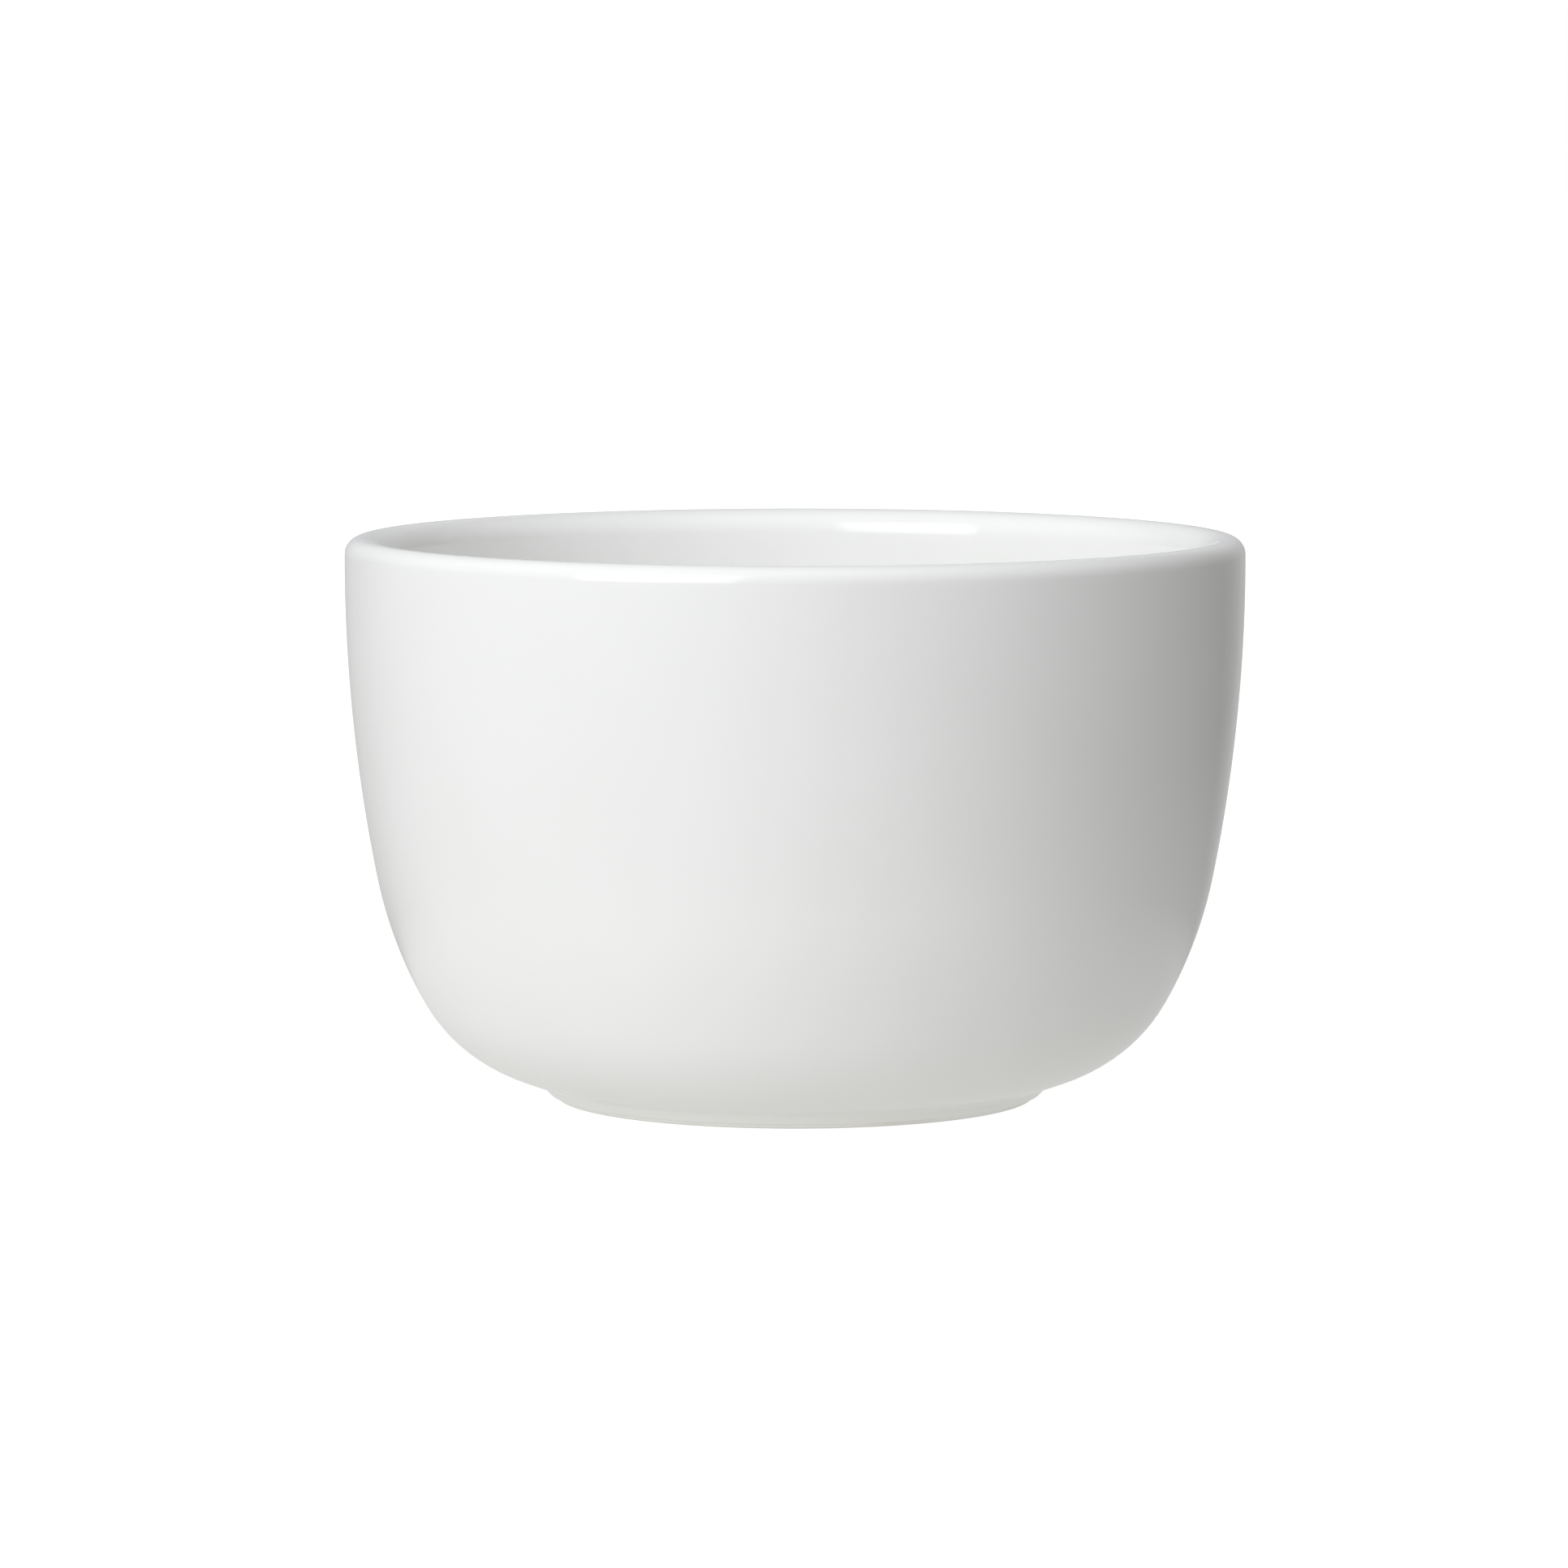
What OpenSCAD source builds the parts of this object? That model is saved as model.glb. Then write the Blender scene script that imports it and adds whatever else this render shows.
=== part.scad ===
// Latte bowl: a handleless white porcelain coffee bowl on a low foot ring.
// The section is a chain of arcs, turned about Z, and the glaze follows it as an even skin.
// Millimetres, +Z up, with the origin on the table under the middle of the foot.

/* [Bowl] */
// Widest outside diameter, just under the lip
bowl_d = 120; // [112:1:130]
// Height from the table to the top of the lip
bowl_h = 75.2; // [68:0.2:84]
// Drop from the top of the lip to the widest level, where the wall stands upright
swell_drop = 3.3; // [2.4:0.1:8]
// Radius of the wall's gentle curve, seen in section
wall_r = 215; // [170:5:280]
// Height at which the wall's curve tightens into the belly
belly_h = 30; // [25:0.5:36]
// Radius of the belly, between wall and hip
belly_r = 57; // [48:1:70]
// Radius of the hip, where the belly turns under towards the foot
hip_r = 21.5; // [18:0.5:26]
// Radius of the underside's shallow curve, centred on the axis
under_r = 110; // [85:5:150]

/* [Wall and floor] */
// Thickness of the finished wall
wall_t = 5.5; // [4.4:0.1:6.4]
// Rounding of the lip's outer edge; a larger round on the inside takes up the rest of the wall
lip_r = 2.2; // [1.4:0.1:2.8]
// Thickness of the finished floor at the middle
floor_t = 5.2; // [4:0.1:7]
// Radius of the inside turn from wall to floor
inner_hip_r = 24; // [19:0.5:28]
// Radius of the floor's shallow dish
floor_r = 260; // [180:10:400]

/* [Foot] */
// Outside diameter of the foot, where it leaves the underside
foot_d = 68.5; // [64:0.5:73]
// Height from the table to where the foot leaves the underside
foot_h = 2.1; // [1.6:0.1:2.8]
// Lean of the foot's outer flank from upright, in degrees
foot_lean = 44; // [30:1:52]
// Width of the foot ring, from its outside diameter to the hollow under the base
foot_w = 6.8; // [5.8:0.1:9]
// Rounding of the two edges that the bowl stands between
foot_edge_r = 0.5; // [0.3:0.1:0.8]
// Depth of the hollow under the base
hollow_h = 1.5; // [1.3:0.1:2.2]
// Fillet between the hollow's side and its ceiling
hollow_fillet_r = 0.7; // [0.4:0.1:1]

/* [Glaze] */
// Thickness of the fired glaze
glaze_t = 0.3; // [0.2:0.05:0.5]
// Bare height wiped clean of glaze above the foot's rounded edges
wiped_h = 0.1; // [0.1:0.05:0.4]

/* [Hidden] */
$fn = 180;
// Rounds stand proud of exact tangency by this much, so that neighbouring arcs cross at a clean point
arc_lap = 0.002;
// Cutting shapes run past what they cut by this much
cut_margin = 2;

// Unit vector at an angle in the section, measured from the radial direction towards +Z
function heading(angle) = [cos(angle), sin(angle)];

// Angle of a vector in the section
function angle_of(v) = atan2(v.y, v.x);

// Crossing of two circles, the one that lies to the left when looking from centre a to centre b
function crossing(a, ra, b, rb) =
    let (
        gap = norm(b - a),
        ahead = (b - a) / gap,
        left = [-ahead.y, ahead.x],
        along = (ra * ra - rb * rb + gap * gap) / (2 * gap)
    )
    a + along * ahead + sqrt(ra * ra - along * along) * left;

// Centre of the wall's curve, inside and out
wall_centre = [bowl_d / 2 - wall_r, bowl_h - swell_drop];

// The belly touches the wall's curve from within
belly_start = -asin((wall_centre.y - belly_h) / wall_r);
belly_centre = wall_centre + (wall_r - belly_r) * heading(belly_start);

// The underside is centred above the middle and passes through the top of the foot
foot_top = [foot_d / 2, foot_h];
under_centre = [0, foot_h + sqrt(pow(under_r, 2) - pow(foot_top.x, 2))];

// The hip touches both the belly and the underside
hip_centre = crossing(under_centre, under_r - hip_r, belly_centre, belly_r - hip_r);
hip_start = angle_of(hip_centre - belly_centre);
hip_end = angle_of(hip_centre - under_centre);

// The floor's dish is centred above the middle, and the inside turn touches both it and the inner wall
floor_z = hollow_h + floor_t;
floor_centre = [0, floor_z + floor_r];
cavity_r = wall_r - wall_t;
turn_centre = crossing(floor_centre, floor_r - inner_hip_r, wall_centre, cavity_r - inner_hip_r);
turn_start = angle_of(turn_centre - wall_centre);
turn_end = angle_of(turn_centre - floor_centre);

// The lip's outer round touches the outer wall and the top
lip_rise = bowl_h - lip_r - wall_centre.y;
lip_centre = wall_centre + [sqrt(pow(wall_r - lip_r, 2) - pow(lip_rise, 2)), lip_rise];
lip_start = angle_of(lip_centre - wall_centre);

// The brim, its inner round, leaves the top at the same point and touches the inner wall
lip_reach = lip_centre.x - wall_centre.x;
brim_r = (pow(lip_reach, 2) + pow(swell_drop, 2) - pow(cavity_r, 2)) / (2 * (cavity_r + swell_drop));
brim_centre = [lip_centre.x, bowl_h - brim_r];
brim_start = angle_of(brim_centre - wall_centre);

// The hollow under the base, and the height at which the glaze stops on both sides of the foot
hollow_r = foot_d / 2 - foot_w;
glaze_line = foot_edge_r + wiped_h;

// Waste outside a round of radius r about c, between the directions from and to
module waste(c, r, from, to) {
    reach = 2 * r + cut_margin;
    half = (to - from) / 2;
    difference() {
        polygon([
            c,
            c + reach * heading(from),
            c + reach / cos(half) * heading(from + half),
            c + reach * heading(to)
        ]);
        translate(c) circle(r + arc_lap);
    }
}

// Everything in the section above a height
module above(z) {
    translate([0, z]) square([bowl_d, bowl_h]);
}

// Lip, wall, belly, hip and underside as a solid form, with a skin of thickness inset taken off
module outside(inset) {
    difference() {
        intersection() {
            square([bowl_d, bowl_h - inset]);
            translate(wall_centre) circle(wall_r - inset);
            translate(under_centre) circle(under_r - inset);
        }
        waste(lip_centre, lip_r - inset, lip_start, 90);
        waste(belly_centre, belly_r - inset, belly_start, hip_end);
        // The hip stands proud by one lap more, because the belly beside it is a round too
        waste(hip_centre, hip_r + arc_lap - inset, hip_start, hip_end);
    }
}

// Foot as a solid disc, with the same skin off its flank and top and a rounded lower edge
module foot(inset) {
    flank = heading(-foot_lean);
    table_x = foot_top.x - inset / flank.x - foot_top.y * tan(foot_lean);
    edge_x = table_x - foot_edge_r * (1 + flank.y) / flank.x;
    top_z = foot_h + cut_margin - inset;
    difference() {
        polygon([[0, 0], [table_x, 0], [table_x + top_z * tan(foot_lean), top_z], [0, top_z]]);
        waste([edge_x, foot_edge_r], foot_edge_r, -foot_lean, -90);
    }
}

// Room inside the bowl, made larger by the skin's thickness
module cavity(inset) {
    difference() {
        intersection() {
            translate(wall_centre) circle(cavity_r + inset);
            translate(floor_centre) circle(floor_r + inset);
        }
        waste(turn_centre, inner_hip_r + inset, turn_start, turn_end);
    }
}

// Bowl with a flat base, from lip to foot
module bowl_section(inset) {
    difference() {
        union() {
            outside(inset);
            foot(inset);
        }
        cavity(inset);
        waste(brim_centre, brim_r - inset, 90, 180 + brim_start);
    }
}

// Hollow under the base, made larger by the skin's thickness
module hollow(inset) {
    corner = [hollow_r - hollow_fillet_r, hollow_h - hollow_fillet_r];
    difference() {
        translate([-cut_margin, -cut_margin])
            square([hollow_r + inset + cut_margin, hollow_h + inset + cut_margin]);
        waste(corner, hollow_fillet_r + inset, 0, 90);
    }
}

// Fired porcelain: wall, floor and foot ring in one piece, bare where the foot meets the table
module porcelain_body() {
    inner_edge_x = hollow_r + glaze_t + foot_edge_r;
    color("linen")
        rotate_extrude()
            difference() {
                bowl_section(glaze_t);
                hollow(glaze_t);
                waste([inner_edge_x, foot_edge_r], foot_edge_r, -180, -90);
            }
}

// Glaze over the inside, the lip, the outside and down the foot's flank
module glaze_coat() {
    color("white")
        rotate_extrude()
            difference() {
                intersection() {
                    bowl_section(0);
                    above(glaze_line);
                }
                bowl_section(glaze_t);
            }
}

// Glaze in the hollow under the base, cut off from the rest by the bare foot
module base_glaze() {
    color("white")
        rotate_extrude()
            difference() {
                intersection() {
                    hollow(glaze_t);
                    above(glaze_line);
                }
                hollow(0);
            }
}

porcelain_body();
glaze_coat();
base_glaze();
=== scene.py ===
"""Latte bowl: the looks of a white glazed porcelain bowl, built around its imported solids.

Each piece is turned about Z from a section of arcs, with the small unevenness that a fired bowl has.
Lengths are in metres, in the frame of the solids: +Z up, with the table at zero.
"""

import math
from types import SimpleNamespace

import bmesh
import bpy
from bpy.props import FloatProperty, FloatVectorProperty, IntProperty, PointerProperty
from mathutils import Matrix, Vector, noise


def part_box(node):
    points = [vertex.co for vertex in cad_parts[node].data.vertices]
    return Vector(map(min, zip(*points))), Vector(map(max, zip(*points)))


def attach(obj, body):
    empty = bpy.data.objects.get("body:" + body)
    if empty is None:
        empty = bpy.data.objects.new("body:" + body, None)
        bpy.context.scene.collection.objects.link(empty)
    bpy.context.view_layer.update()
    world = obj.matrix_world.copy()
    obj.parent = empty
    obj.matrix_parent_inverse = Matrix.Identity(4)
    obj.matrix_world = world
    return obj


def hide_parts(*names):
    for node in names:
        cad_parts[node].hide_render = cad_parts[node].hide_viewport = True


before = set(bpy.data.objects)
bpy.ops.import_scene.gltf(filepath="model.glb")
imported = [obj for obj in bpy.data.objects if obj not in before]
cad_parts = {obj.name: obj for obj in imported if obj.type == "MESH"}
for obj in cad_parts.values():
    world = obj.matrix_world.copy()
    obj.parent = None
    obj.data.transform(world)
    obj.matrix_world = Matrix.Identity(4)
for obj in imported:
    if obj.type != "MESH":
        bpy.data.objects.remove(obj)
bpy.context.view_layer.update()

bl_info = {
    "name": "Latte bowl",
    "version": (1, 0, 0),
    "blender": (4, 5, 0),
    "location": "View3D > Sidebar > Latte bowl",
    "description": "Builds a glazed porcelain latte bowl and the studio that it stands in",
    "category": "Object",
}

ROOT_BODY = "root"
MM = 0.001
PHOTO_PIXELS = 1932
WHITE = (1.0, 1.0, 1.0)

# Patterns in the finishes, as features to the metre
CLOUD_SCALE = 45.0
GLOSS_SCALE = 160.0
PEEL_SCALE = 420.0
MARK_SCALE = 90.0
GRAIN_SCALE = 2600.0

# Way to the tent's dim side, and soft edges as cosines from that way and from straight behind
DIM_AZIMUTH = math.radians(116)
DIM_EDGE = (0.55, 0.75)
BACK_EDGE = (0.72, 0.92)

# Half the floor's width, and where its brightness changes, in metres from the bowl's axis
FLOOR_HALF = 4.0
# The floor's glow is painted light: PATCH marks a bright patch under the bowl, RIGHT_FALL a painted shade
# falling off to the right
PATCH_HALF = 0.07
PATCH_EDGE = (0.09, 0.13)
RIGHT_FALL = (0.06, 0.25)
WHITE_RISE = (0.2, 0.7)

COAT_LOW, COAT_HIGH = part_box("glaze_coat")
_, BODY_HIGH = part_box("porcelain_body")
_, BASE_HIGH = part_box("base_glaze")


def length(name, description, default):
    """A size that a user may change."""
    return FloatProperty(
        name=name, description=description, default=default, min=0.0, precision=5, unit="LENGTH"
    )


def colour(name, description, default):
    """A colour that a user may change, written as linear red, green and blue."""
    return FloatVectorProperty(
        name=name, description=description, default=default, size=3, min=0.0, max=1.0, subtype="COLOR"
    )


def turn(name, description, default):
    """An angle that a user may change, given here in degrees."""
    return FloatProperty(
        name=name, description=description, default=math.radians(default), subtype="ANGLE"
    )


def level(name, description, default):
    """A plain factor that a user may change."""
    return FloatProperty(name=name, description=description, default=default, min=0.0, precision=4)


class BowlSizes(bpy.types.PropertyGroup):
    """Sizes of the bowl's section, read from the solids where their boxes give them"""

    bowl_r: length("Radius", "Widest outside radius, just under the lip", min(COAT_HIGH.x, COAT_HIGH.y))
    bowl_h: length("Height", "Height from the table to the top of the lip", COAT_HIGH.z)
    swell_drop: length("Swell drop", "Drop from the lip to the widest level", 3.3 * MM)
    wall_r: length("Wall curve", "Radius of the wall's gentle curve in section", 215 * MM)
    belly_h: length("Belly height", "Height at which the wall's curve tightens into the belly", 30 * MM)
    belly_r: length("Belly curve", "Radius of the belly, between wall and hip", 57 * MM)
    hip_r: length("Hip curve", "Radius of the turn from belly to underside", 21.5 * MM)
    under_r: length("Underside curve", "Radius of the underside's shallow curve", 110 * MM)
    wall_t: length("Wall", "Thickness of the wall", 5.5 * MM)
    lip_r: length("Lip", "Rounding of the lip's outer edge", 2.2 * MM)
    floor_t: length("Floor", "Thickness of the floor at the middle", 5.2 * MM)
    inner_hip_r: length("Inside turn", "Radius of the inside turn from wall to floor", 24 * MM)
    floor_r: length("Floor dish", "Radius of the floor's shallow dish", 260 * MM)
    foot_r: length("Foot radius", "Outside radius of the foot where it leaves the underside", 34.25 * MM)
    foot_h: length("Foot height", "Height at which the foot leaves the underside", 2.1 * MM)
    foot_lean: turn("Foot lean", "Lean of the foot's flank from upright", 44)
    foot_edge_r: length("Foot edges", "Rounding of the foot's lower edges", 0.5 * MM)
    hollow_fillet_r: length("Hollow fillet", "Fillet in the hollow under the base", 0.7 * MM)
    glaze_t: length("Glaze", "Thickness of the fired glaze", COAT_HIGH.z - BODY_HIGH.z)
    glaze_line: length("Glaze line", "Height at which the glaze stops on the foot", COAT_LOW.z)
    pool_r: length("Pool", "Fillet of glaze that gathers above the foot", 1.5 * MM)
    unround: length("Out of round", "How far the fired rim is from a true circle", 0.06 * MM)
    ripple: length("Ripple", "Depth of the glaze's slow ripple", 0.008 * MM)
    line_wander: length("Line wander", "How far the wiped glaze line wanders up and down", 0.1 * MM)
    ring_depth: length("Turning rings", "Depth of the trimming tool's rings on the foot", 0.025 * MM)
    segments: IntProperty(name="Segments", description="Faces round each piece", default=288, min=24)


class BowlFinishes(bpy.types.PropertyGroup):
    """Colours and gloss of the glaze and the bare clay"""

    glaze_white: colour("Glaze", "White of the glaze over the body", (0.926, 0.927, 0.91))
    glaze_shade: colour("Glaze shade", "Slightly deeper white in slow clouds", (0.914, 0.915, 0.895))
    # Glaze a little darker and warmer towards the foot
    glaze_foot_tint: colour("Glaze pool", "Tint where the glaze gathers thick", (0.903, 0.905, 0.868))
    glaze_roughness: level("Glaze roughness", "Roughness of the fired glaze", 0.075)
    clay_pale: colour("Clay", "Bare fired clay", (0.9, 0.89, 0.86))
    clay_dark: colour("Clay shade", "Darker grains and table marks in the bare clay", (0.78, 0.76, 0.71))
    clay_worn: colour("Worn clay", "Bearing face of the foot, rubbed by tables", (0.72, 0.69, 0.63))
    clay_roughness: level("Clay roughness", "Roughness of the bare clay", 0.78)


class StudioSettings(bpy.types.PropertyGroup):
    """Camera, lamps, tent and floor"""

    view_distance: length("Camera distance", "Distance from the camera to the point it looks at", 1.04)
    view_elevation: turn("Camera elevation", "Angle of the view down onto the bowl", 5.63)
    aim_h: length("Aim height", "Height of the point at the picture's centre", 41.95 * MM)
    axis_right: length("Axis offset", "How far right of the picture's centre the axis stands", 1.48 * MM)
    photo_scale: level("Photo scale", "Photograph pixels to a millimetre at the aim point", 9.22)
    sensor_w: FloatProperty(
        name="Sensor", description="Sensor width in millimetres", default=36.0, min=1.0, unit="CAMERA"
    )
    key_level: level("Softbox", "Brightness of the softbox at the front left, where white is 1", 2.13)
    key_colour: colour("Softbox colour", "Colour of the softbox", (0.962, 0.98, 1.0))
    top_level: level("Overhead", "Brightness of the panel overhead, where white is 1", 0.24)
    tent_lit: level("Tent lit", "Light from the tent's lit sides, where white is 1", 0.665)
    tent_dim: level("Tent dim", "Light from the tent's right, where white is 1", 0.12)
    lit_colour: colour("Tent lit colour", "Colour of the tent's lit sides", (0.975, 0.98, 1.0))
    dim_colour: colour("Tent dim colour", "Colour of the tent's right", (1.0, 0.975, 0.965))
    mirror_dim: level("Mirror dim", "Brightness of most of the tent in reflections", 0.24)
    mirror_back: level("Mirror back", "Brightness of the back in reflections and of the floor there", 0.55)
    floor_white: level("Floor white", "Glow of the seen floor beside the bowl, where white is 1", 0.88)
    floor_shade: level("Floor shade", "Share of the lamps' light, and so of shadow, that shows", 0.25)
    # Glow that the floor sends to the bowl, painted light: a bright patch under the bowl, dimmer away, and
    # painted shade at the right where the bowl's shadow falls
    patch_light_left: level("Floor near left", "Brightness of the lit floor at the left", 0.75)
    patch_light_right: level("Floor near right", "Brightness of the lit floor at the right", 0.6)
    far_level: level("Floor far", "Brightness of the floor away from the bowl", 0.43)
    shaded_right_glow: level("Floor right", "Brightness of the floor away from the bowl at the right", 0.167)
    floor_tint: colour("Floor tint", "Colour of the light that the floor sends up", (0.998, 1.0, 0.98))


def heading(angle):
    """Unit vector in the section, measured from the radial direction towards +Z."""
    return Vector((math.cos(angle), math.sin(angle)))


def angle_of(v):
    """Angle of a vector in the section."""
    return math.atan2(v.y, v.x)


def crossing(a, ra, b, rb):
    """Crossing of two circles, the one to the left when looking from centre a to centre b."""
    gap = (b - a).length
    ahead = (b - a) / gap
    left = Vector((-ahead.y, ahead.x))
    along = (ra * ra - rb * rb + gap * gap) / (2 * gap)
    return a + along * ahead + math.sqrt(ra * ra - along * along) * left


def arc(centre, radius, start, end, step):
    """Points along an arc, no further apart than step."""
    count = max(3, math.ceil(abs(end - start) * radius / step))
    return [centre + radius * heading(start + (end - start) * i / count) for i in range(count + 1)]


def chain(stretches):
    """Points along arcs that meet end to end, each given as the arguments of arc."""
    path = []
    for stretch in stretches:
        points = arc(*stretch)
        path += points[1:] if path else points
    return path


def line(a, b, step):
    """Points along a straight stretch, no further apart than step."""
    count = max(1, math.ceil((b - a).length / step))
    return [a.lerp(b, i / count) for i in range(count + 1)]


def section_plan(size):
    """The centres, angles and radii that the section's arcs share."""
    plan = SimpleNamespace(size=size)
    plan.wall_centre = Vector((size.bowl_r - size.wall_r, size.bowl_h - size.swell_drop))
    plan.belly_start = math.asin((size.belly_h - plan.wall_centre.y) / size.wall_r)
    plan.belly_centre = plan.wall_centre + (size.wall_r - size.belly_r) * heading(plan.belly_start)
    plan.foot_top = Vector((size.foot_r, size.foot_h))
    plan.under_centre = Vector((0.0, size.foot_h + math.sqrt(size.under_r ** 2 - size.foot_r ** 2)))
    plan.hip_centre = crossing(
        plan.under_centre, size.under_r - size.hip_r, plan.belly_centre, size.belly_r - size.hip_r
    )
    plan.hip_start = angle_of(plan.hip_centre - plan.belly_centre)
    plan.hip_end = angle_of(plan.hip_centre - plan.under_centre)
    plan.hollow_r = BASE_HIGH.x - size.glaze_t
    plan.hollow_h = BASE_HIGH.z - size.glaze_t
    plan.floor_centre = Vector((0.0, plan.hollow_h + size.floor_t + size.floor_r))
    plan.cavity_r = size.wall_r - size.wall_t
    plan.turn_centre = crossing(
        plan.floor_centre,
        size.floor_r - size.inner_hip_r,
        plan.wall_centre,
        plan.cavity_r - size.inner_hip_r,
    )
    plan.turn_start = angle_of(plan.turn_centre - plan.wall_centre)
    plan.turn_end = angle_of(plan.turn_centre - plan.floor_centre)
    lip_rise = size.bowl_h - size.lip_r - plan.wall_centre.y
    plan.lip_angle = math.asin(lip_rise / (size.wall_r - size.lip_r))
    plan.lip_centre = plan.wall_centre + (size.wall_r - size.lip_r) * heading(plan.lip_angle)
    reach = Vector((plan.lip_centre.x, size.bowl_h)) - plan.wall_centre
    plan.brim_r = (reach.length_squared - plan.cavity_r ** 2) / (2 * (plan.cavity_r + reach.y))
    plan.brim_centre = Vector((plan.lip_centre.x, size.bowl_h - plan.brim_r))
    plan.brim_angle = angle_of(plan.brim_centre - plan.wall_centre)
    plan.flank_out = heading(-size.foot_lean)
    plan.flank_up = Vector((math.sin(size.foot_lean), math.cos(size.foot_lean)))
    return plan


def flank_at(plan, inset, z):
    """Point of the foot's flank at a height, with a skin taken off."""
    start = plan.foot_top - inset * plan.flank_out
    return start + (z - start.y) / plan.flank_up.y * plan.flank_up


def notch(plan, inset, fillet):
    """The fillet between underside and flank: its centre, and the angle at which the underside ends."""
    reach = plan.size.under_r - inset + fillet
    start = plan.foot_top + (fillet - inset) * plan.flank_out
    offset = start - plan.under_centre
    half = offset.dot(plan.flank_up)
    along = -half - math.sqrt(half * half - offset.length_squared + reach * reach)
    centre = start + along * plan.flank_up
    return centre, angle_of(centre - plan.under_centre)


def upper_path(plan, inset, fillet):
    """From the middle of the floor, over the lip and down to the foot's flank."""
    size = plan.size
    coarse, fine = 1.5 * MM, 0.3 * MM
    half_turn = math.pi
    up = half_turn / 2
    centre, under_end = notch(plan, inset, fillet)
    path = chain([
        (plan.floor_centre, size.floor_r + inset, -up, plan.turn_end, coarse),
        (plan.turn_centre, size.inner_hip_r + inset, plan.turn_end, plan.turn_start, coarse),
        (plan.wall_centre, plan.cavity_r + inset, plan.turn_start, plan.brim_angle, coarse),
        (plan.brim_centre, plan.brim_r - inset, plan.brim_angle + half_turn, up, fine),
        (plan.lip_centre, size.lip_r - inset, up, plan.lip_angle, fine),
        (plan.wall_centre, size.wall_r - inset, plan.lip_angle, plan.belly_start, coarse),
        (plan.belly_centre, size.belly_r - inset, plan.belly_start, plan.hip_start, coarse),
        (plan.hip_centre, size.hip_r - inset, plan.hip_start, plan.hip_end, coarse),
        (plan.under_centre, size.under_r - inset, plan.hip_end, under_end, coarse),
    ])
    if fillet > 0:
        start = under_end + half_turn
        end = angle_of(-plan.flank_out)
        end += 2 * half_turn * round((start - end) / (2 * half_turn))
        path += arc(centre, fillet, start, end, fillet / 8)[1:]
    return path


def bead(outer, inner):
    """Round end of a glaze skin, from its outer face to its inner one."""
    steps = 8
    centre = (outer + inner) / 2
    radius = (outer - inner).length / 2
    start = angle_of(outer - centre)
    return [centre + radius * heading(start - math.pi * i / steps) for i in range(1, steps)]


def coat_section(plan):
    """Closed skin of glaze: inside, lip and outside, ending in a bead on the foot's flank."""
    size = plan.size
    step = 0.2 * MM
    outer = upper_path(plan, 0.0, size.pool_r)
    inner = upper_path(plan, size.glaze_t, 0.0)
    end_z = size.glaze_line + size.glaze_t / 2
    outer_end = flank_at(plan, 0.0, end_z)
    inner_end = outer_end - size.glaze_t * plan.flank_out
    outer += line(outer[-1], outer_end, step)[1:]
    inner += line(inner[-1], inner_end, step)[1:]
    return outer + bead(outer_end, inner_end) + inner[::-1]


def turned_ring(plan, start, end):
    """The bearing face, with the shallow rings of the trimming tool."""
    size = plan.size
    pitch = 0.4 * MM
    points = line(start, end, pitch / 8)
    for p in points:
        fade = math.sin(math.pi * (start.x - p.x) / (start.x - end.x))
        p.y += size.ring_depth * fade * math.sin(math.pi * (start.x - p.x) / pitch) ** 2
    return points


def body_section(plan):
    """Closed section of the clay, from the middle of the floor round to the middle of the hollow."""
    size = plan.size
    clearance = 0.01 * MM
    inset = size.glaze_t + clearance
    edge = size.foot_edge_r
    fine = 0.1 * MM
    path = upper_path(plan, inset, 0.0)
    table = flank_at(plan, inset, 0.0)
    outer_edge = Vector((table.x - edge * (1 + plan.flank_out.y) / plan.flank_out.x, edge))
    inner_edge = Vector((plan.hollow_r + inset + edge, edge))
    down = -math.pi / 2
    path += line(path[-1], outer_edge + edge * plan.flank_out, fine)[1:]
    path += arc(outer_edge, edge, -size.foot_lean, down, fine)[1:]
    path += turned_ring(plan, path[-1], Vector((inner_edge.x, 0.0)))[1:]
    path += arc(inner_edge, edge, down, 2 * down, fine)[1:]
    return path + hollow_path(plan, path[-1].y, inset)[::-1]


def hollow_path(plan, low_z, inset):
    """The hollow under the base, from its middle out and down its side."""
    fillet = plan.size.hollow_fillet_r
    coarse, fine = 1.2 * MM, 0.1 * MM
    centre = Vector((plan.hollow_r - fillet, plan.hollow_h - fillet))
    ceiling = plan.hollow_h + inset
    path = line(Vector((0.0, ceiling)), Vector((centre.x, ceiling)), coarse)
    path += arc(centre, fillet + inset, math.pi / 2, 0.0, fine)[1:]
    side = plan.hollow_r + inset
    return path + line(path[-1], Vector((side, low_z)), fine)[1:-1]


def base_section(plan):
    """Closed skin of glaze in the hollow under the base."""
    size = plan.size
    end_z = size.glaze_line + size.glaze_t / 2
    air = hollow_path(plan, end_z, 0.0)
    clay = hollow_path(plan, end_z, size.glaze_t)
    air.append(Vector((plan.hollow_r, end_z)))
    clay.append(Vector((plan.hollow_r + size.glaze_t, end_z)))
    return clay + bead(clay[-1], air[-1]) + air[::-1]


def unrounded(size, point):
    """A point moved to where firing left it: the rim a little oval, never outside the true circle."""
    theta = math.atan2(point.y, point.x)
    oval = 0.35 * math.cos(2 * theta + 0.6)
    lobes = 0.15 * math.cos(3 * theta - 1.1)
    shrink = size.unround / size.bowl_r * (0.5 + oval + lobes) * point.z / size.bowl_h
    sag = 0.5 * shrink
    return Vector((point.x * (1 - shrink), point.y * (1 - shrink), point.z * (1 - sag)))


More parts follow.
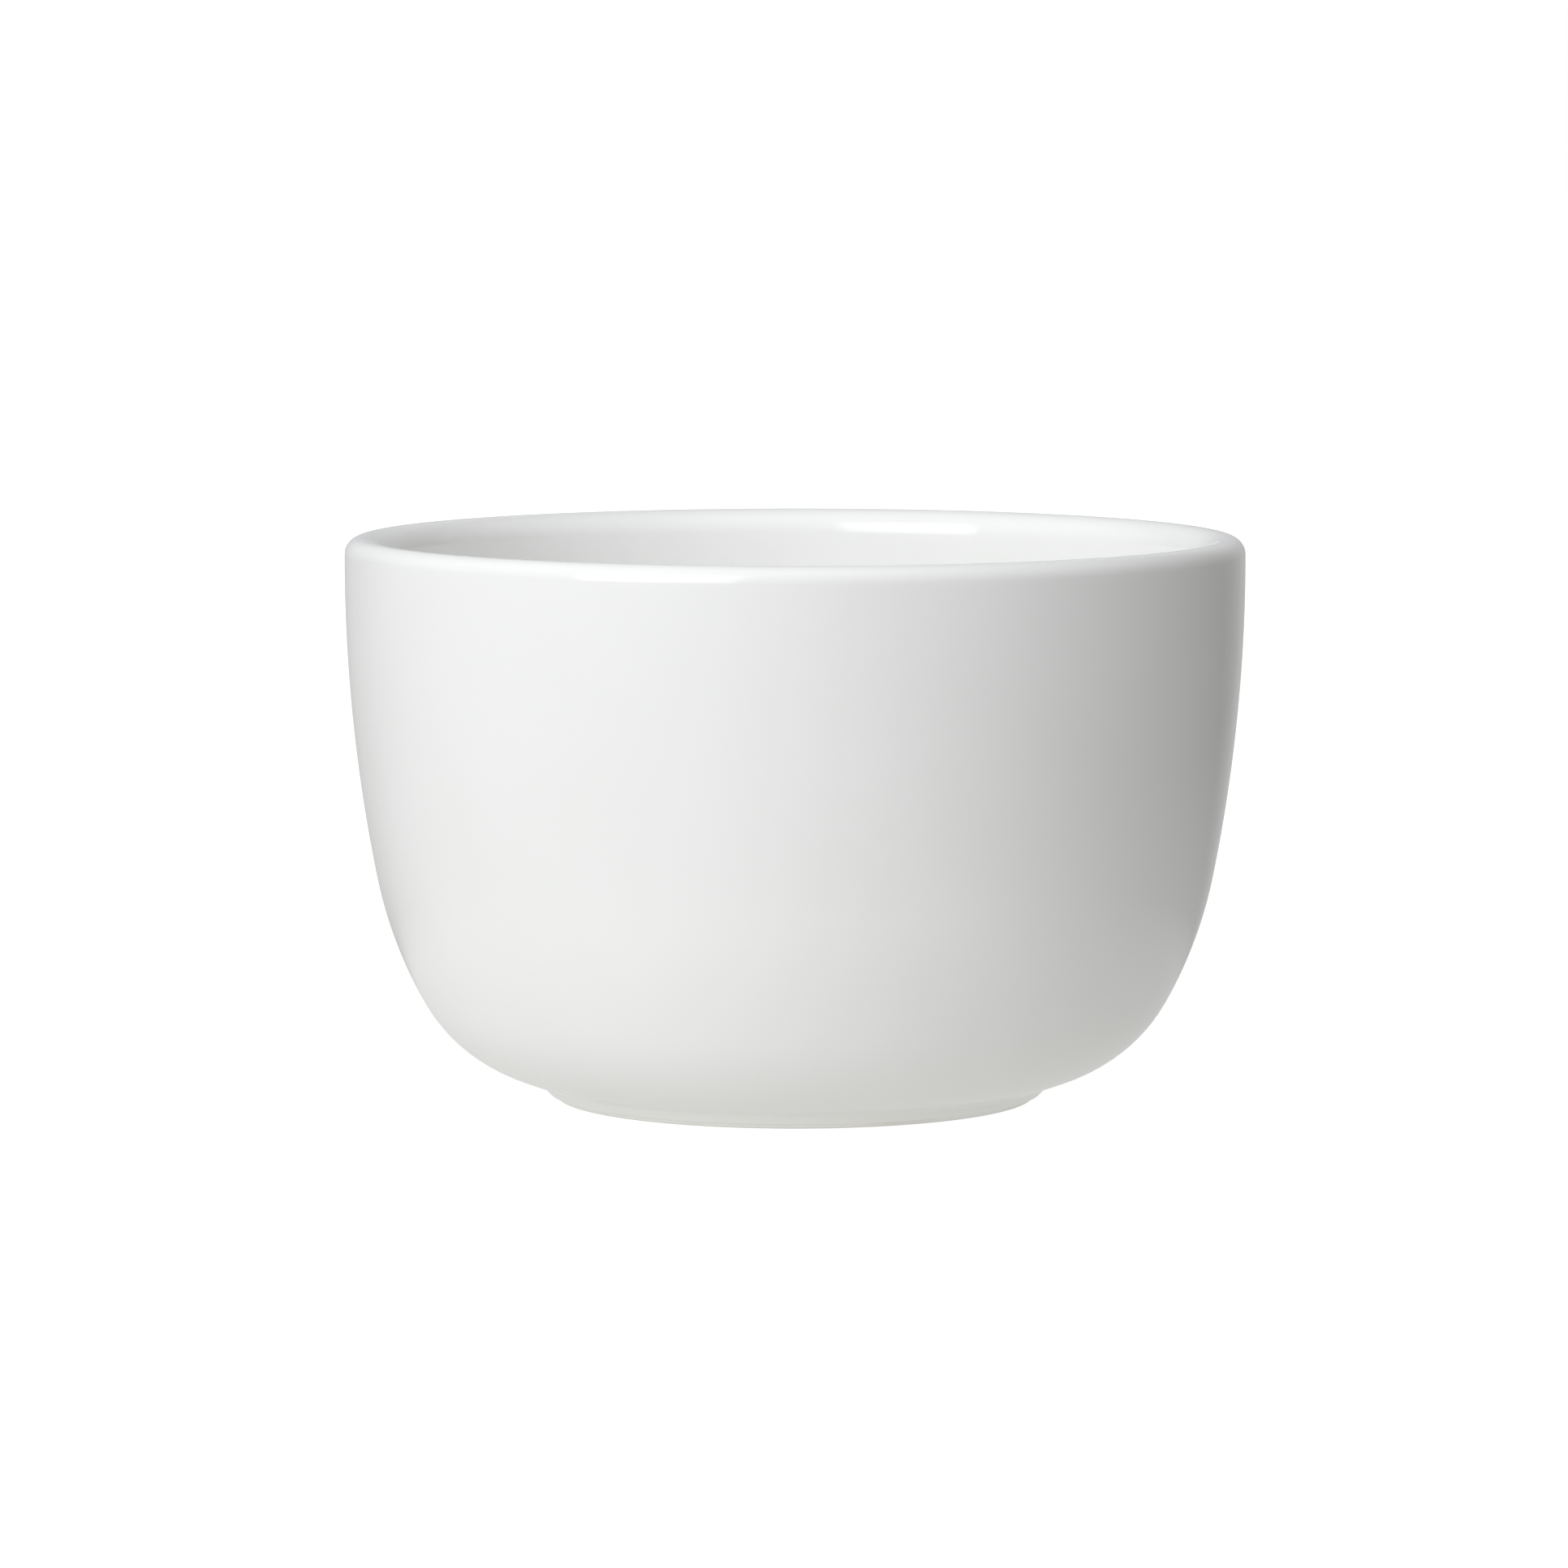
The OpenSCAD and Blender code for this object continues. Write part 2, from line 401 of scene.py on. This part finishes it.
def lathe(name, section, size, reshape):
    """A mesh turned about Z from a section whose two ends lie on the axis."""
    mesh = bpy.data.meshes.new(name)
    bm = bmesh.new()
    rings = []
    for i, p in enumerate(section):
        on_axis = p.x < 0.0001 * MM
        count = 1 if on_axis else size.segments
        ring = []
        for k in range(count):
            theta = 2 * math.pi * k / size.segments
            point = Vector((p.x * math.cos(theta), p.x * math.sin(theta), p.y))
            ring.append(bm.verts.new(unrounded(size, reshape(i, theta, point))))
        rings.append(ring)
    for a, b in zip(rings, rings[1:]):
        for k in range(size.segments):
            corners = [a[k % len(a)], b[k % len(b)], b[(k + 1) % len(b)], a[(k + 1) % len(a)]]
            unique = list(dict.fromkeys(corners))
            if len(unique) > 2:
                bm.faces.new(unique).smooth = True
    bmesh.ops.recalc_face_normals(bm, faces=bm.faces)
    bm.to_mesh(mesh)
    bm.free()
    piece = bpy.data.objects.new(name, mesh)
    bpy.context.scene.collection.objects.link(piece)
    return piece


def as_drawn(_index, _theta, point):
    """No change to a turned point."""
    return point


def fit_piece(piece, material, node):
    """Gives a piece its finish and its place in the frame."""
    piece.data.materials.append(material)
    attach(piece, ROOT_BODY)
    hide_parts(node)


class NodeTree:
    """Adds nodes to a material or world and joins them, left to right."""

    def __init__(self, owner):
        owner.use_nodes = True
        self.tree = owner.node_tree
        self.tree.nodes.clear()
        self.column = 0

    def add(self, kind, values=None, **settings):
        """A new node, with its inputs set to values or joined to other nodes' outputs."""
        node = self.tree.nodes.new(kind)
        node.location = (220 * self.column, 0)
        self.column += 1
        for key, value in settings.items():
            setattr(node, key, value)
        for key, value in (values or {}).items():
            if isinstance(value, bpy.types.NodeSocket):
                self.tree.links.new(value, node.inputs[key])
            else:
                node.inputs[key].default_value = value
        return node

    def cloud(self, place, scale, detail):
        """Slow noise from 0 to 1, scale features to the metre."""
        node = self.add("ShaderNodeTexNoise", {"Vector": place, "Scale": scale, "Detail": detail})
        return node.outputs["Fac"]

    def remap(self, value, low, high, to_low, to_high):
        """A number carried from one range to another and held at its ends."""
        node = self.add(
            "ShaderNodeMapRange",
            {"Value": value, "From Min": low, "From Max": high, "To Min": to_low, "To Max": to_high},
        )
        return node.outputs["Result"]

    def maximum(self, a, b):
        """The larger of two numbers."""
        return self.add("ShaderNodeMath", {0: a, 1: b}, operation="MAXIMUM").outputs[0]

    def dot(self, a, b):
        """The dot product of two vectors."""
        return self.add("ShaderNodeVectorMath", {0: a, 1: b}, operation="DOT_PRODUCT").outputs["Value"]

    def axes(self, vector):
        """The X, Y and Z outputs of a vector."""
        return self.add("ShaderNodeSeparateXYZ", {"Vector": vector}).outputs

    def mix_shaders(self, factor, a, b):
        """Mix of two shaders."""
        return self.add("ShaderNodeMixShader", {0: factor, 1: a, 2: b}).outputs["Shader"]

    def blend_numbers(self, factor, a, b):
        """Mix of two numbers."""
        return self.add("ShaderNodeMix", {0: factor, 2: a, 3: b}, data_type="FLOAT").outputs[0]

    def blend(self, factor, a, b):
        """Mix of two colours."""
        node = self.add("ShaderNodeMix", data_type="RGBA")
        sockets = [s for s in node.inputs if s.type == "RGBA"]
        self.tree.links.new(factor, node.inputs[0])
        for socket, value in zip(sockets, (a, b)):
            if isinstance(value, bpy.types.NodeSocket):
                self.tree.links.new(value, socket)
            else:
                socket.default_value = (*value, 1.0)
        return next(s for s in node.outputs if s.type == "RGBA")


def glaze_material(finish, size):
    """Glossy white glaze: slow clouds of tone, a darker, warmer tint towards the foot, and a faint orange
    peel.
    """
    material = bpy.data.materials.get("white_glaze")
    if material:
        return material
    material = bpy.data.materials.new("white_glaze")
    nodes = NodeTree(material)
    place = nodes.add("ShaderNodeTexCoord").outputs["Object"]
    height = nodes.axes(place)["Z"]
    clouds = nodes.remap(nodes.cloud(place, CLOUD_SCALE, 3.0), 0.35, 0.7, 0.0, 1.0)
    tone = nodes.blend(clouds, finish.glaze_white, finish.glaze_shade)
    # The glaze turns darker and warmer towards the foot, by height
    tint_start = size.foot_h * 2.2
    tint_full = size.foot_h * 0.6
    foot_share = nodes.remap(height, tint_start, tint_full, 0.0, 1.0)
    base = nodes.blend(foot_share, tone, finish.glaze_foot_tint)
    dullest = finish.glaze_roughness * 1.5
    gloss = nodes.remap(nodes.cloud(place, GLOSS_SCALE, 2.0), 0.3, 0.7, finish.glaze_roughness, dullest)
    peel = nodes.add(
        "ShaderNodeBump",
        {"Strength": 0.12, "Distance": 0.02 * MM, "Height": nodes.cloud(place, PEEL_SCALE, 2.0)},
    )
    shader = nodes.add(
        "ShaderNodeBsdfPrincipled",
        {
            "Base Color": base,
            "Roughness": gloss,
            "IOR": 1.5,
            "Normal": peel.outputs["Normal"],
        },
    )
    nodes.add("ShaderNodeOutputMaterial", {"Surface": shader.outputs["BSDF"]})
    return material


def clay_material(finish, size):
    """Matt bare clay: fine grain, a few table marks and a bearing face that tables rubbed darker."""
    material = bpy.data.materials.new("bare_clay")
    nodes = NodeTree(material)
    place = nodes.add("ShaderNodeTexCoord").outputs["Object"]
    marks = nodes.remap(nodes.cloud(place, MARK_SCALE, 4.0), 0.5, 0.75, 0.0, 0.8)
    grain = nodes.cloud(place, GRAIN_SCALE, 3.0)
    speckle = nodes.remap(grain, 0.6, 0.75, 0.0, 0.5)
    height = nodes.axes(place)["Z"]
    rub_start = size.foot_edge_r * 0.4
    rub_full = size.foot_edge_r * 0.1
    rubbed = nodes.remap(height, rub_start, rub_full, 0.0, 1.0)
    plain = nodes.blend(rubbed, finish.clay_pale, finish.clay_worn)
    stained = nodes.blend(marks, plain, finish.clay_dark)
    base = nodes.blend(speckle, stained, finish.clay_dark)
    rough = nodes.remap(grain, 0.3, 0.7, finish.clay_roughness * 0.9, finish.clay_roughness * 1.1)
    bump = nodes.add("ShaderNodeBump", {"Strength": 0.5, "Distance": 0.03 * MM, "Height": grain})
    shader = nodes.add(
        "ShaderNodeBsdfPrincipled",
        {"Base Color": base, "Roughness": rough, "IOR": 1.5, "Normal": bump.outputs["Normal"]},
    )
    nodes.add("ShaderNodeOutputMaterial", {"Surface": shader.outputs["BSDF"]})
    return material


class BOWL_OT_porcelain_body(bpy.types.Operator):
    """Turns the clay body, whose bare foot ring shows under the glaze"""

    bl_idname = "bowl.porcelain_body"
    bl_label = "Porcelain body"

    def execute(self, context):
        size = context.scene.bowl_sizes
        plan = section_plan(size)
        piece = lathe("clay_body", body_section(plan), size, as_drawn)
        fit_piece(piece, clay_material(context.scene.bowl_finishes, size), "porcelain_body")
        return {"FINISHED"}


class BOWL_OT_glaze_coat(bpy.types.Operator):
    """Turns the glaze over the inside, the lip and the outside, with its ripple and wiped edge"""

    bl_idname = "bowl.glaze_coat"
    bl_label = "Glaze coat"

    def execute(self, context):
        size = context.scene.bowl_sizes
        plan = section_plan(size)
        section = coat_section(plan)
        outer_count = len(upper_path(plan, 0.0, size.pool_r))
        ripple_scale = 70.0
        wander_scale = 3.0

        def fired(index, theta, point):
            """A point moved by the ripple, or by the wander of the wiped line on the foot."""
            if index < outer_count and point.z > size.foot_h * 2:
                depth = 0.5 + 0.5 * noise.noise(point * ripple_scale)
                return point * (1 - depth * size.ripple / size.bowl_r)
            if point.z > size.foot_h:
                return point
            share = (size.foot_h - point.z) / (size.foot_h - size.glaze_line)
            place = Vector((math.cos(theta), math.sin(theta), 0.0)) * wander_scale
            rise = size.line_wander * share * noise.noise(place)
            out = plan.flank_up.x / plan.flank_up.y * rise
            return point + Vector((math.cos(theta) * out, math.sin(theta) * out, rise))

        piece = lathe("glaze_skin", section, size, fired)
        fit_piece(piece, glaze_material(context.scene.bowl_finishes, size), "glaze_coat")
        return {"FINISHED"}


class BOWL_OT_base_glaze(bpy.types.Operator):
    """Turns the glaze in the hollow under the base"""

    bl_idname = "bowl.base_glaze"
    bl_label = "Base glaze"

    def execute(self, context):
        size = context.scene.bowl_sizes
        piece = lathe("base_glaze_skin", base_section(section_plan(size)), size, as_drawn)
        fit_piece(piece, glaze_material(context.scene.bowl_finishes, size), "base_glaze")
        return {"FINISHED"}


def white_world(scene, studio):
    """A white tent that is seen plain white and lights the bowl from all sides but the right."""
    world = bpy.data.worlds.new("white_tent")
    scene.world = world
    nodes = NodeTree(world)
    path = nodes.add("ShaderNodeLightPath").outputs
    way = nodes.add("ShaderNodeTexCoord").outputs["Generated"]
    share = nodes.remap(nodes.dot(way, direction(DIM_AZIMUTH, 0.0)), *DIM_EDGE, 1.0, 0.0)
    light = nodes.blend_numbers(share, studio.tent_dim, studio.tent_lit)
    tint = nodes.blend(share, studio.dim_colour, studio.lit_colour)
    mirrored = nodes.remap(nodes.axes(way)["Y"], *BACK_EDGE, studio.mirror_dim, studio.mirror_back)
    seen = nodes.maximum(path["Is Camera Ray"], path["Is Transmission Ray"])
    unseen = nodes.blend_numbers(path["Is Glossy Ray"], light, mirrored)
    strength = nodes.blend_numbers(seen, unseen, 1.0)
    shade = nodes.blend(seen, tint, WHITE)
    back = nodes.add("ShaderNodeBackground", {"Color": shade, "Strength": strength})
    nodes.add("ShaderNodeOutputWorld", {"Surface": back.outputs["Background"]})


def floor_material(studio):
    """Floor that looks white with a soft shadow and is clear from below; to the bowl it glows as painted
    light, brightest in a patch under the bowl and darker at the right as painted shade.
    """
    material = bpy.data.materials.new("pale_floor")
    nodes = NodeTree(material)
    path = nodes.add("ShaderNodeLightPath").outputs
    place = nodes.add("ShaderNodeTexCoord").outputs["Object"]
    away = nodes.add("ShaderNodeVectorMath", {0: place}, operation="LENGTH").outputs["Value"]
    across = nodes.axes(place)
    # Painted light: a bright patch under the bowl, brighter at the left
    near = nodes.remap(across["X"], -PATCH_HALF, PATCH_HALF, studio.patch_light_left, studio.patch_light_right)
    # Painted shade: away from the bowl the glow falls off to the right, where its shadow lies
    far = nodes.remap(across["X"], *RIGHT_FALL, studio.far_level, studio.shaded_right_glow)
    behind = nodes.add("ShaderNodeMath", {0: across["Y"], 1: away}, operation="DIVIDE").outputs[0]
    far = nodes.blend_numbers(nodes.remap(behind, *BACK_EDGE, 0.0, 1.0), far, studio.mirror_back)
    glow = nodes.blend_numbers(nodes.remap(away, *PATCH_EDGE, 0.0, 1.0), near, far)
    # The floor glows as painted light towards the bowl, though it is no lamp
    table = nodes.add("ShaderNodeEmission", {"Color": (*studio.floor_tint, 1.0), "Strength": glow})
    shaded = nodes.add("ShaderNodeBsdfDiffuse", {"Color": (*[studio.floor_shade] * 3, 1.0)})
    white_glow = nodes.remap(away, *WHITE_RISE, studio.floor_white, 1.0)
    bright = nodes.add("ShaderNodeEmission", {"Strength": white_glow})
    white = nodes.add("ShaderNodeAddShader", {0: shaded.outputs["BSDF"], 1: bright.outputs["Emission"]})
    seen = nodes.maximum(path["Is Camera Ray"], path["Is Transmission Ray"])
    above = nodes.mix_shaders(seen, table.outputs["Emission"], white.outputs["Shader"])
    beneath = nodes.add("ShaderNodeNewGeometry").outputs["Backfacing"]
    clear = nodes.add("ShaderNodeBsdfTransparent")
    sided = nodes.mix_shaders(beneath, above, clear.outputs["BSDF"])
    nodes.add("ShaderNodeOutputMaterial", {"Surface": sided})
    return material


def make_floor(scene, studio):
    """A wide plain sheet at the height of the table."""
    half = FLOOR_HALF
    corners = [(-half, -half, 0), (half, -half, 0), (half, half, 0), (-half, half, 0)]
    mesh = bpy.data.meshes.new("floor")
    mesh.from_pydata(corners, [], [(0, 1, 2, 3)])
    mesh.materials.append(floor_material(studio))
    floor = bpy.data.objects.new("floor", mesh)
    scene.collection.objects.link(floor)


def aim_at(thing, place, target):
    """Puts a camera or lamp at a place, looking at a target."""
    thing.location = place
    thing.rotation_euler = (target - place).to_track_quat("-Z", "Y").to_euler()


def direction(azimuth, elevation):
    """Unit vector from the bowl: azimuth 0 is towards the camera, positive to the right."""
    flat = math.cos(elevation)
    return Vector((flat * math.sin(azimuth), -flat * math.cos(azimuth), math.sin(elevation)))


def panel_lamp(scene, name, brightness, tint, azimuth, reach, lamp_h, aim_h, panel_w, panel_h, roll=0.0):
    """A soft rectangular lamp whose face is as bright as asked, where white is 1."""
    lamp = bpy.data.lights.new(name, "AREA")
    lamp.shape = "RECTANGLE"
    lamp.size = panel_w
    lamp.size_y = panel_h
    lamp.energy = 4 * panel_w * panel_h * brightness
    lamp.color = tint
    holder = bpy.data.objects.new(name, lamp)
    scene.collection.objects.link(holder)
    place = reach * direction(math.radians(azimuth), 0.0) + Vector((0.0, 0.0, lamp_h))
    aim_at(holder, place, Vector((0.0, 0.0, aim_h)))
    holder.rotation_euler.rotate_axis("Z", math.radians(roll))


class BOWL_OT_studio(bpy.types.Operator):
    """Sets out the floor, the white surroundings, the lamps and the camera"""

    bl_idname = "bowl.studio"
    bl_label = "Studio"

    def execute(self, context):
        scene = context.scene
        studio = scene.bowl_studio
        scene.view_settings.view_transform = "Standard"
        white_world(scene, studio)
        make_floor(scene, studio)
        panel_lamp(
            scene, "softbox", studio.key_level, studio.key_colour,
            azimuth=-37, reach=0.87, lamp_h=0.6, aim_h=0.367, panel_w=0.71, panel_h=1.0, roll=6,
        )
        panel_lamp(
            scene, "overhead_panel", studio.top_level, WHITE,
            azimuth=8, reach=0.35, lamp_h=1.2, aim_h=scene.bowl_sizes.bowl_h, panel_w=0.8, panel_h=0.8,
        )
        camera = bpy.data.cameras.new("photo_camera")
        camera.sensor_width = studio.sensor_w
        picture_w = PHOTO_PIXELS / studio.photo_scale * MM
        camera.lens = studio.sensor_w * studio.view_distance / picture_w
        holder = bpy.data.objects.new("photo_camera", camera)
        scene.collection.objects.link(holder)
        target = Vector((-studio.axis_right, 0.0, studio.aim_h))
        aim_at(holder, target + studio.view_distance * direction(0.0, studio.view_elevation), target)
        scene.camera = holder
        return {"FINISHED"}


class BOWL_PT_sidebar(bpy.types.Panel):
    """Lists the bowl's pieces and the sizes that shape them"""

    bl_idname = "BOWL_PT_sidebar"
    bl_label = "Latte bowl"
    bl_space_type = "VIEW_3D"
    bl_region_type = "UI"
    bl_category = "Latte bowl"

    def draw(self, context):
        for operator in PIECES:
            self.layout.operator(operator.bl_idname)
        for group in (context.scene.bowl_sizes, context.scene.bowl_finishes, context.scene.bowl_studio):
            box = self.layout.box()
            for name in group.bl_rna.properties.keys():
                if name not in ("rna_type", "name"):
                    box.prop(group, name)


GROUPS = {"bowl_sizes": BowlSizes, "bowl_finishes": BowlFinishes, "bowl_studio": StudioSettings}
PIECES = (BOWL_OT_porcelain_body, BOWL_OT_glaze_coat, BOWL_OT_base_glaze, BOWL_OT_studio)


def register():
    """Adds the settings, the operators and the panel."""
    for cls in (*GROUPS.values(), *PIECES, BOWL_PT_sidebar):
        bpy.utils.register_class(cls)
    for name, group in GROUPS.items():
        setattr(bpy.types.Scene, name, PointerProperty(type=group))


def unregister():
    """Takes away what register added."""
    for name in GROUPS:
        delattr(bpy.types.Scene, name)
    for cls in reversed((*GROUPS.values(), *PIECES, BOWL_PT_sidebar)):
        bpy.utils.unregister_class(cls)


def main():
    """Builds the bowl and its studio."""
    register()
    bpy.ops.bowl.porcelain_body()
    bpy.ops.bowl.glaze_coat()
    bpy.ops.bowl.base_glaze()
    bpy.ops.bowl.studio()


if __name__ == "__main__":
    main()
